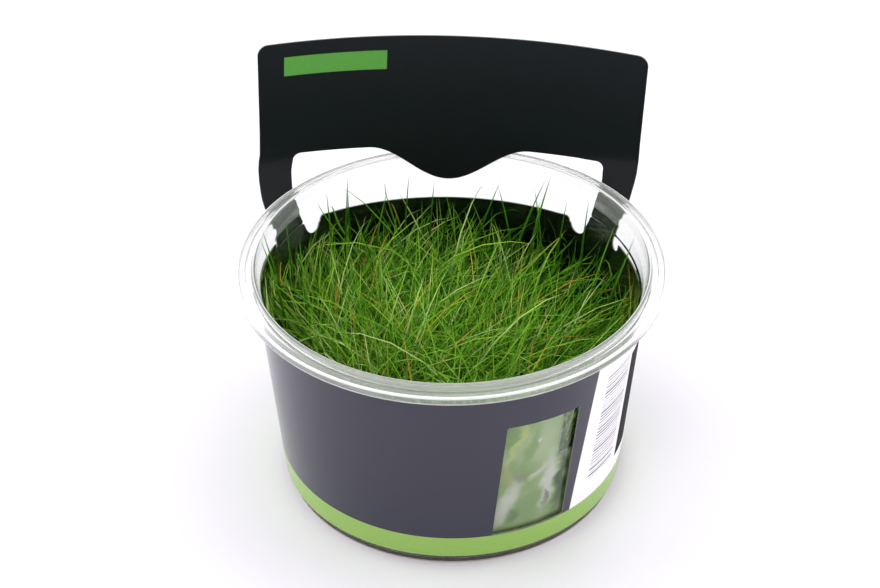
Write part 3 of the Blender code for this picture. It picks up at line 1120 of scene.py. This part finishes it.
    def flat_blank(self) -> bpy.types.Object:
        """The flat card in millimetres, filled between its outline and its two openings."""
        clear_selection()
        curve = bpy.data.curves.new("printed_card", "CURVE")
        curve.dimensions = "2D"
        curve.fill_mode = "BOTH"
        for outline in (self.outline(), self.cut_out(), self.window_outline()):
            line = curve.splines.new("POLY")
            line.points.add(len(outline) - 1)
            line.use_cyclic_u = True
            for point, (u, h) in zip(line.points, outline):
                point.co = (u, h, 0.0, 1.0)
        blank = bpy.data.objects.new("printed_card", curve)
        bpy.context.scene.collection.objects.link(blank)
        take_up(blank)
        bpy.ops.object.convert(target="MESH")
        return bpy.context.object

    def crease(self, card: bpy.types.Object) -> None:
        """Cut the flat card into columns and rows, so that it can bend."""
        left, right = self.end_left * self.radius, self.end_right * self.radius
        count = round((right - left) / self.column_step)
        columns = [left + (right - left) * i / count for i in range(1, count)]
        rows = list(np.arange(self.lower + 3.0, self.header_top - 1.0, self.row_step))
        bpy.ops.object.mode_set(mode="EDIT")
        bpy.ops.mesh.select_mode(type="VERT")
        bpy.ops.mesh.select_all(action="SELECT")
        bpy.ops.mesh.remove_doubles(threshold=0.001)
        for axis, lines in ((0, columns), (1, rows)):
            for value in lines:
                place, normal = [0.0, 0.0, 0.0], [0.0, 0.0, 0.0]
                place[axis], normal[axis] = float(value), 1.0
                bpy.ops.mesh.select_all(action="SELECT")
                bpy.ops.mesh.bisect(plane_co=place, plane_no=normal, threshold=0.0005)

        def spare(edge: bmesh.types.BMEdge) -> bool:
            if len(edge.link_faces) != 2:
                return False
            for axis, lines in ((0, columns), (1, rows)):
                first, second = (vert.co[axis] for vert in edge.verts)
                if abs(first - second) < 0.002 and min(abs(first - value) for value in lines) < 0.002:
                    return False
            return True

        pick(card, Part.EDGES, spare)
        bpy.ops.mesh.dissolve_edges(use_verts=False)
        bpy.ops.object.mode_set(mode="OBJECT")

    def build(self, cup: ClearCup) -> bpy.types.Object:
        """Cut, bend, thicken and print the card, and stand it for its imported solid."""
        card = self.flat_blank()
        card.data.materials.clear()
        self.crease(card)
        plan = card.data.uv_layers.new(name=self.PLAN)
        for loop in card.data.loops:
            flat = card.data.vertices[loop.vertex_index].co
            plan.data[loop.index].uv = (flat.x * MM, flat.y * MM)
        for vert in card.data.vertices:
            vert.co = [value * MM for value in self.bend(vert.co.x, vert.co.y, cup)]
        take_up(card)
        band = min(card.data.polygons, key=lambda face: face.center.y)
        if band.normal.y > 0.0:
            bpy.ops.object.mode_set(mode="EDIT")
            bpy.ops.mesh.select_all(action="SELECT")
            bpy.ops.mesh.flip_normals()
            bpy.ops.object.mode_set(mode="OBJECT")
        for finish in (self.outside, self.inside, self.edge):
            card.data.materials.append(finish.material())
        board = card.modifiers.new("Board", "SOLIDIFY")
        board.thickness = self.thickness * MM
        board.offset = 0.0
        board.use_even_offset = False
        board.material_offset = 1
        board.material_offset_rim = 2
        bpy.ops.object.modifier_apply(modifier=board.name)
        bpy.ops.object.shade_smooth_by_angle(angle=math.radians(35.0))
        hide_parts("card_sleeve")
        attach(card, "root")
        return card


@dataclass(frozen=True)
class Habit:
    """One way that blades grow: how many do, how they lean and bend, and how wide and pale they are.

    Pairs are the middle and the spread, or the least and the most; angles are degrees.
    """

    share: float
    lean: float
    bend: Point
    reach: Point
    width: Point
    tone: Point


@dataclass
class GrassMat:
    """The plants: clumps of fine blades rooted in the gel, gathered tuft by tuft."""

    TONE = "blade_tone"
    ALONG = "blade_along"
    DRY = "blade_dry"
    LINE_STEPS = 24

    ring_radii: tuple[float, ...] = (0.0, 11.8, 23.6, 35.4)
    ring_counts: tuple[int, ...] = (1, 6, 12, 18)
    gel_top: float = 13.1
    root_radius: float = 39.2
    clumps: int = 1000
    blades_per_clump: int = 9
    bare_side: float = 0.86
    low_side: float = 0.24
    levels: tuple[float, ...] = (0.16, 0.32, 0.48, 0.63, 0.77, 0.89)
    mat_height: float = 45.0
    mat_fall: float = 0.17
    mat_fall_side: float = 0.08
    mat_dip_back: float = 0.0032
    habits: tuple[Habit, ...] = (
        Habit(share=0.28, lean=16.0, bend=(14.0, 10.0), reach=(0.4, 0.94), width=(0.2, 0.32), tone=(0.26, 0.15)),
        Habit(share=0.3, lean=36.0, bend=(16.0, 12.0), reach=(0.75, 1.04), width=(0.22, 0.38), tone=(0.42, 0.17)),
        Habit(share=0.22, lean=22.0, bend=(68.0, 24.0), reach=(0.8, 1.06), width=(0.2, 0.34), tone=(0.46, 0.17)),
        Habit(share=0.2, lean=68.0, bend=(4.0, 8.0), reach=(0.9, 1.12), width=(0.18, 0.32), tone=(0.5, 0.2)),
    )
    proud_share: Point = (0.02, 0.11)
    proud_most: float = 17.0
    dry_share: float = 0.03
    tall_width: float = 0.42
    # Tip and foot of each blade that stands clear of the mat: x, y and height, then x and y
    tall_blades: tuple[tuple[float, ...], ...] = (
        (-25, 31, 61, -22, 32),
        (-25, 26, 61, -28, 29),
        (-30, 27, 60, -27, 27),
        (-10, 33, 61, -11, 34),
        (-4, 34, 58, -6, 35),
        (-15, 33, 57, -20, 33),
        (0, 30, 55, -3, 34),
        (12, 32, 59, -2, 35),
        (11, 31, 59, 16, 34),
        (23, 30, 61, 11, 33),
        (24, 28, 63, 16, 31),
        (20, 31, 58, 23, 31),
        (28, 28, 56, 24, 29),
        (33, 24, 59, 31, 23),
        (39, 14, 59, 28, 11),
        (43, 8, 59, 32, 13),
        (40, 2, 55, 24, 5),
        (42, -5, 55, 28, -2),
        (-44, 3, 66, -35, 12),
        (-44, -4, 68, -38, 3),
        (-39, 12, 63, -37, 9),
        (-36, 12, 58, -30, -21),
        (-40, -6, 58, -20, 6),
    )
    seed: int = 11
    finish: HairgrassLeaf = field(default_factory=HairgrassLeaf)

    def blade_form(self) -> tuple[np.ndarray, list[tuple[int, ...]]]:
        """Model one straight blade of length 1 and radius 1 that closes in a point.

        Returns:
            Its points and its faces.
        """
        clear_selection()
        bpy.ops.mesh.primitive_cone_add(
            vertices=3, radius1=1.0, radius2=1.0, depth=1.0, end_fill_type="NOTHING", location=(0, 0, 0.5)
        )
        obj = bpy.context.object
        bpy.ops.object.transform_apply(location=True, rotation=False, scale=False)
        bpy.ops.object.mode_set(mode="EDIT")
        for level in self.levels:
            bpy.ops.mesh.select_all(action="SELECT")
            bpy.ops.mesh.bisect(plane_co=(0, 0, level), plane_no=(0, 0, 1))
        pick(obj, Part.VERTS, lambda vert: vert.co.z > 0.99)
        bpy.ops.mesh.merge(type="CENTER")
        close_and_orient()
        bpy.ops.object.mode_set(mode="OBJECT")
        points = np.array([vert.co[:] for vert in obj.data.vertices])
        faces = [tuple(face.vertices) for face in obj.data.polygons]
        bpy.data.objects.remove(obj, do_unlink=True)
        return points, faces

    def canopy(self, x: np.ndarray, y: np.ndarray) -> np.ndarray:
        """Height of the mat's top, lowest at the back, with low swells."""
        swell = 1.4 * np.sin(x * 0.19 + 0.8) * np.cos(y * 0.16 - 0.4) + 0.8 * np.sin(0.37 * (x + y))
        dip = self.mat_dip_back * np.maximum(y, 0.0) ** 2
        return self.mat_height - self.mat_fall * y - self.mat_fall_side * x - dip + swell

    def beside(self, place: np.ndarray) -> np.ndarray:
        """How far each place lies in the bare corner beside the right wall, from 0 to 1."""
        return np.clip((place[:, 0] + 0.4 * np.minimum(place[:, 1], 20.0) - 23.0) / 10.0, 0.0, 1.0)

    def inside_limit(self, z: np.ndarray, cup: ClearCup) -> np.ndarray:
        """How far from the axis a blade may be at a height."""
        wall = cup.wall_radius_at[0] + cup.taper * (np.minimum(z, 54.0) - cup.wall_radius_at[1])
        return wall - cup.thickness - 0.45 + 0.4 * np.clip((z - 57.0) / 3.0, 0.0, 1.0)

    def scatter(self, rng: np.random.Generator) -> dict[str, np.ndarray]:
        """Root, lean and size of every blade of the mat, clump by clump.

        Args:
            rng: the seeded source of chance.

        Returns:
            Arrays with one entry for each blade.
        """
        each = self.blades_per_clump
        radius = self.root_radius * np.sqrt(rng.uniform(0.0, 1.0, self.clumps))
        turn = rng.uniform(0.0, math.tau, self.clumps)
        middle = np.stack([radius * np.cos(turn), radius * np.sin(turn)], 1)
        middle = middle[rng.uniform(0.0, 1.0, self.clumps) > self.bare_side * self.beside(middle)]
        clumps, total = len(middle), len(middle) * each
        comb = rng.uniform(0.0, math.tau, clumps)
        shade = rng.normal(0.0, 0.07, clumps)
        root = np.repeat(middle, each, 0) + rng.normal(0.0, 0.9, (total, 2))
        away = np.hypot(root[:, 0], root[:, 1])
        root *= np.minimum(1.0, self.root_radius / np.maximum(away, 1e-6))[:, None]
        kinds = rng.choice(len(self.habits), total, p=[habit.share for habit in self.habits])

        def by_habit(name: str) -> np.ndarray:
            return np.array([getattr(habit, name) for habit in self.habits])[kinds].T

        def between(name: str) -> np.ndarray:
            least, most = by_habit(name)
            return least + (most - least) * rng.uniform(0.0, 1.0, total)

        def about(name: str) -> np.ndarray:
            middle, spread = by_habit(name)
            return middle + spread * rng.normal(0.0, 1.0, total)

        lean = np.radians(np.minimum(np.abs(rng.normal(0.0, 1.0, total)) * by_habit("lean"), 72.0))
        bent = np.minimum(lean + np.radians(np.abs(about("bend"))), math.radians(112.0))
        reach = between("reach")
        reach *= 1.0 - self.low_side * self.beside(root)
        rise = np.maximum((self.canopy(root[:, 0], root[:, 1]) - self.gel_top) * reach, 6.0)
        back = np.clip((root[:, 1] - 2.0) / 16.0, 0.0, 1.0)
        few, many = self.proud_share
        proud = (rng.uniform(0.0, 1.0, total) < few + (many - few) * back) & (lean < math.radians(30.0))
        rise += np.where(proud, rng.uniform(2.0, 8.0 + (self.proud_most - 8.0) * back), 0.0)
        dry = rng.uniform(0.0, 1.0, total) < self.dry_share
        return {
            "root": root,
            "lean_to": np.repeat(comb, each) + rng.normal(0.0, 1.1, total),
            "lean": lean,
            "bent": bent,
            "curl": rng.normal(0.0, 0.2, total),
            "rise": rise,
            "width": between("width") * np.where(proud, 1.15, 1.0),
            "roll": rng.uniform(0.0, math.tau, total),
            # Lowering the tone towards the back and the right of the mat is painted shade.
            "tone": np.clip(
                about("tone") + np.repeat(shade, each) - 0.001 * root[:, 1] - 0.003 * root[:, 0] - 0.02, 0.0, 1.0
            ),
            "dryness": np.where(dry, rng.uniform(0.3, 1.0, total), 0.0),
        }

    def arched(self, blades: dict[str, np.ndarray]) -> np.ndarray:
        """The line that each blade of the mat grows along.

        Args:
            blades: what scatter gives.

        Returns:
            Points, shaped blades by 25 by 3, in millimetres.
        """
        steps = np.linspace(0.0, 1.0, self.LINE_STEPS + 1)
        mid = (steps[1:] + steps[:-1]) / 2.0
        angle = blades["lean"][:, None] + (blades["bent"] - blades["lean"])[:, None] * mid**1.6
        heading = blades["lean_to"][:, None] + blades["curl"][:, None] * mid
        run = np.stack(
            [np.sin(angle) * np.cos(heading), np.sin(angle) * np.sin(heading), np.cos(angle)], 2
        )
        line = np.concatenate([np.zeros((len(angle), 1, 3)), np.cumsum(run, 1) / len(mid)], 1)
        top = np.maximum(line[:, :, 2].max(1), 0.3)
        line *= np.minimum(blades["rise"] / top, 62.0)[:, None, None]
        line[:, :, :2] += blades["root"][:, None, :]
        line[:, :, 2] = self.gel_top + np.maximum(line[:, :, 2], 0.012 * np.arange(len(steps)))
        return line

    def standing(self, rng: np.random.Generator) -> tuple[np.ndarray, dict[str, np.ndarray]]:
        """The tall blades' lines and looks.

        Args:
            rng: the seeded source of chance.

        Returns:
            Points, shaped blades by 25 by 3, in millimetres, and what scatter gives besides lines.
        """
        marks = np.array(self.tall_blades, dtype=float)
        count = len(marks)
        tip, foot = marks[:, :3], np.column_stack([marks[:, 3:], np.full(count, self.gel_top)])
        knee = foot * 0.6 + tip * 0.4
        knee[:, 2] = self.gel_top + 0.55 * (tip[:, 2] - self.gel_top)
        knee[:, :2] += rng.normal(0.0, 1.2, (count, 2))
        t = np.linspace(0.0, 1.0, self.LINE_STEPS + 1)[None, :, None]
        line = (1.0 - t) ** 2 * foot[:, None] + 2.0 * t * (1.0 - t) * knee[:, None] + t**2 * tip[:, None]
        looks = {
            "root": foot[:, :2],
            "width": rng.uniform(0.8, 1.3, count) * self.tall_width,
            "roll": rng.uniform(0.0, math.tau, count),
            "tone": rng.uniform(0.05, 0.4, count),
            "dryness": np.zeros(count),
        }
        return line, looks

    def skin(
        self, line: np.ndarray, blades: dict[str, np.ndarray], form: np.ndarray, cup: ClearCup
    ) -> np.ndarray:
        """Bend a copy of the blade form along each blade's line.

        Args:
            line: the blades' lines.
            blades: the blades' widths and rolls.
            form: the points of the straight blade.
            cup: the cup that holds the blades in.

        Returns:
            Points, shaped blades by points by 3, in millimetres.
        """
        limit = self.inside_limit(line[:, :, 2], cup)
        away = np.hypot(line[:, :, 0], line[:, :, 1])
        line[:, :, :2] *= np.minimum(1.0, limit / np.maximum(away, 1e-6))[:, :, None]
        levels, where = np.unique(np.round(form[:, 2], 5), return_inverse=True)
        at = np.clip(levels * self.LINE_STEPS, 0, self.LINE_STEPS)
        low = np.minimum(at.astype(int), self.LINE_STEPS - 1)
        part = (at - low)[None, :, None]
        spine = line[:, low] * (1.0 - part) + line[:, low + 1] * part
        tangent = line[:, low + 1] - line[:, low]
        tangent /= np.maximum(np.linalg.norm(tangent, axis=2, keepdims=True), 1e-9)
        around = np.stack([np.cos(blades["roll"]), np.sin(blades["roll"]), 0.0 * blades["roll"]], 1)
        side = np.cross(tangent, around[:, None, :])
        side /= np.maximum(np.linalg.norm(side, axis=2, keepdims=True), 1e-9)
        other = np.cross(tangent, side)
        taper = (1.0 - levels**3.5) * (0.85 + 0.15 * np.cos(levels * 2.0)) + 0.02
        size = (blades["width"][:, None] * taper[None, :])[:, where][:, :, None]
        x, y = form[None, :, 0, None], form[None, :, 1, None]
        return spine[:, where] + size * (x * side[:, where] + y * other[:, where])

    def tuft(
        self,
        name: str,
        points: np.ndarray,
        faces: list[tuple[int, ...]],
        form: np.ndarray,
        blades: dict[str, np.ndarray],
    ) -> bpy.types.Object:
        """Join the blades of one tuft in one mesh, with each blade's tone, painted shade included, on its points.
        """
        count, each = points.shape[:2]
        corners = [len(face) for face in faces]
        flat = np.array([i for face in faces for i in face])
        starts = np.cumsum([0] + corners[:-1])
        mesh = bpy.data.meshes.new(name)
        mesh.vertices.add(count * each)
        mesh.vertices.foreach_set("co", (points.reshape(-1) * MM).astype(np.float32))
        mesh.loops.add(count * len(flat))
        offset = np.arange(count)[:, None] * each
        mesh.loops.foreach_set("vertex_index", (flat[None, :] + offset).reshape(-1))
        mesh.polygons.add(count * len(faces))
        jump = np.arange(count)[:, None] * len(flat)
        mesh.polygons.foreach_set("loop_start", (starts[None, :] + jump).reshape(-1))
        mesh.update(calc_edges=True)
        mesh.validate()
        mesh.shade_smooth()
        along = np.broadcast_to(form[None, :, 2], (count, each))
        start = 1.0 - blades["dryness"][:, None]
        dry = np.clip((along - start * 0.9) * 4.0, 0.0, 1.0) * (blades["dryness"][:, None] > 0.0)
        values = {
            self.TONE: np.broadcast_to(blades["tone"][:, None], (count, each)),
            self.ALONG: along,
            self.DRY: dry,
        }
        for label, value in values.items():
            layer = mesh.attributes.new(label, "FLOAT", "POINT")
            layer.data.foreach_set("value", value.reshape(-1).astype(np.float32))
        obj = bpy.data.objects.new(name, mesh)
        bpy.context.scene.collection.objects.link(obj)
        return obj

    def build(self, cup: ClearCup) -> list[bpy.types.Object]:
        """Grow every blade and gather them in one piece for each packed tuft."""
        rng = np.random.default_rng(self.seed)
        form, faces = self.blade_form()
        mat = self.scatter(rng)
        tall_line, tall = self.standing(rng)
        line = np.concatenate([self.arched(mat), tall_line])
        blades = {key: np.concatenate([mat[key], value]) for key, value in tall.items()}
        points = self.skin(line, blades, form, cup)
        centres = []
        for ring, (radius, count) in enumerate(zip(self.ring_radii, self.ring_counts)):
            for i in range(count):
                azimuth = math.tau * (i + 0.5 * (ring % 2)) / count
                centres.append((radius * math.sin(azimuth), radius * math.cos(azimuth)))
        apart = np.linalg.norm(blades["root"][:, None, :] - np.array(centres)[None, :, :], axis=2)
        nearest = apart.argmin(1)
        leaf = self.finish.material()
        tufts = []
        for i in range(len(centres)):
            mine = {key: value[nearest == i] for key, value in blades.items()}
            tuft = self.tuft(f"grass_tuft_{i + 1:02d}", points[nearest == i], faces, form, mine)
            tuft.data.materials.append(leaf)
            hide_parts(f"tuft_{i + 1:02d}")
            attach(tuft, "root")
            tufts.append(tuft)
        return tufts


@dataclass
class Studio:
    """The pale floor, the soft lights and the camera."""

    focal_pixels: float = 2600.0
    image_width: float = 880.0
    sensor: float = 36.0
    eye: tuple[float, float, float] = (-0.45, -490.645, 408.397)
    yaw: float = math.radians(-0.268)
    pitch: float = math.radians(36.27)
    roll: float = math.radians(-0.43)
    floor_size: float = 3000.0
    sky: float = 1.06
    paper: StudioPaper = field(default_factory=StudioPaper)

    def camera(self) -> bpy.types.Object:
        """Set up the camera where the picture was taken from."""
        data = bpy.data.cameras.new("camera")
        data.sensor_width = self.sensor
        data.lens = self.focal_pixels / self.image_width * self.sensor
        data.clip_start, data.clip_end = 0.01, 20.0
        camera = bpy.data.objects.new("camera", data)
        bpy.context.scene.collection.objects.link(camera)
        ahead = np.array(
            [
                math.sin(self.yaw) * math.cos(self.pitch),
                math.cos(self.yaw) * math.cos(self.pitch),
                -math.sin(self.pitch),
            ]
        )
        right = np.cross(ahead, (0.0, 0.0, 1.0))
        right /= np.linalg.norm(right)
        above = np.cross(right, ahead)
        rolled = right * math.cos(self.roll) + above * math.sin(self.roll)
        above = above * math.cos(self.roll) - right * math.sin(self.roll)
        place = Matrix.Identity(4)
        for row in range(3):
            place[row][0], place[row][1], place[row][2] = rolled[row], above[row], -ahead[row]
            place[row][3] = self.eye[row] * MM
        camera.matrix_world = place
        bpy.context.scene.camera = camera
        return camera

    def floor(self) -> bpy.types.Object:
        """Lay the paper that the cup stands on."""
        clear_selection()
        bpy.ops.mesh.primitive_plane_add(size=self.floor_size * MM, location=(0, 0, 0))
        floor = bpy.context.object
        floor.name = "studio_floor"
        floor.data.materials.append(self.paper.material())
        return floor

    def softbox(
        self, name: str, place: tuple[float, float, float], size: Point, power: float
    ) -> bpy.types.Object:
        """Hang a soft light that faces the cup.

        Args:
            name: the light's name.
            place: where it hangs, in millimetres.
            size: its width and height, in millimetres.
            power: its power, in watts.

        Returns:
            The light.
        """
        data = bpy.data.lights.new(name, "AREA")
        data.shape = "RECTANGLE"
        data.size, data.size_y = size[0] * MM, size[1] * MM
        data.energy = power
        light = bpy.data.objects.new(name, data)
        bpy.context.scene.collection.objects.link(light)
        spot = np.array(place) * MM
        back = spot - np.array([0.0, 0.0, 0.03])
        back /= np.linalg.norm(back)
        side = np.cross((0.0, 0.0, 1.0), back)
        if np.linalg.norm(side) < 1e-6:
            side = np.array([1.0, 0.0, 0.0])
        side /= np.linalg.norm(side)
        up = np.cross(back, side)
        pose = Matrix.Identity(4)
        for row in range(3):
            pose[row][0], pose[row][1], pose[row][2], pose[row][3] = side[row], up[row], back[row], spot[row]
        light.matrix_world = pose
        return light

    def build(self) -> None:
        """Light the set."""
        scene = bpy.context.scene
        scene.view_settings.view_transform = "Standard"
        world = bpy.data.worlds.new("white_room")
        world.use_nodes = True
        scene.world = world
        tree = world.node_tree
        tree.nodes.clear()
        glow = add_node(
            tree, "ShaderNodeBackground", {"Color": linear("#fdfdff"), "Strength": self.sky}
        )
        add_node(tree, "ShaderNodeOutputWorld", {"Surface": glow.outputs["Background"]})
        self.floor()
        self.softbox("softbox_top", (0.0, 200.0, 580.0), (500.0, 400.0), 0.5)
        self.softbox("softbox_left", (-480.0, 80.0, 280.0), (420.0, 420.0), 1.1)
        self.softbox("softbox_right", (520.0, 40.0, 280.0), (420.0, 420.0), 0.8)


def main() -> None:
    """Build the scene in order and report each piece."""
    logging.basicConfig(level=logging.INFO, format="%(message)s")
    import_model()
    studio = Studio()
    studio.camera()
    cup = ClearCup()
    for piece in (cup.build(), GelBed().build(cup), CardSleeve().build(cup)):
        LOG.info("%s: %d faces", piece.name, len(piece.data.polygons))
    for piece in GrassMat().build(cup):
        LOG.info("%s: %d faces", piece.name, len(piece.data.polygons))
    studio.build()


if __name__ == "__main__":
    main()
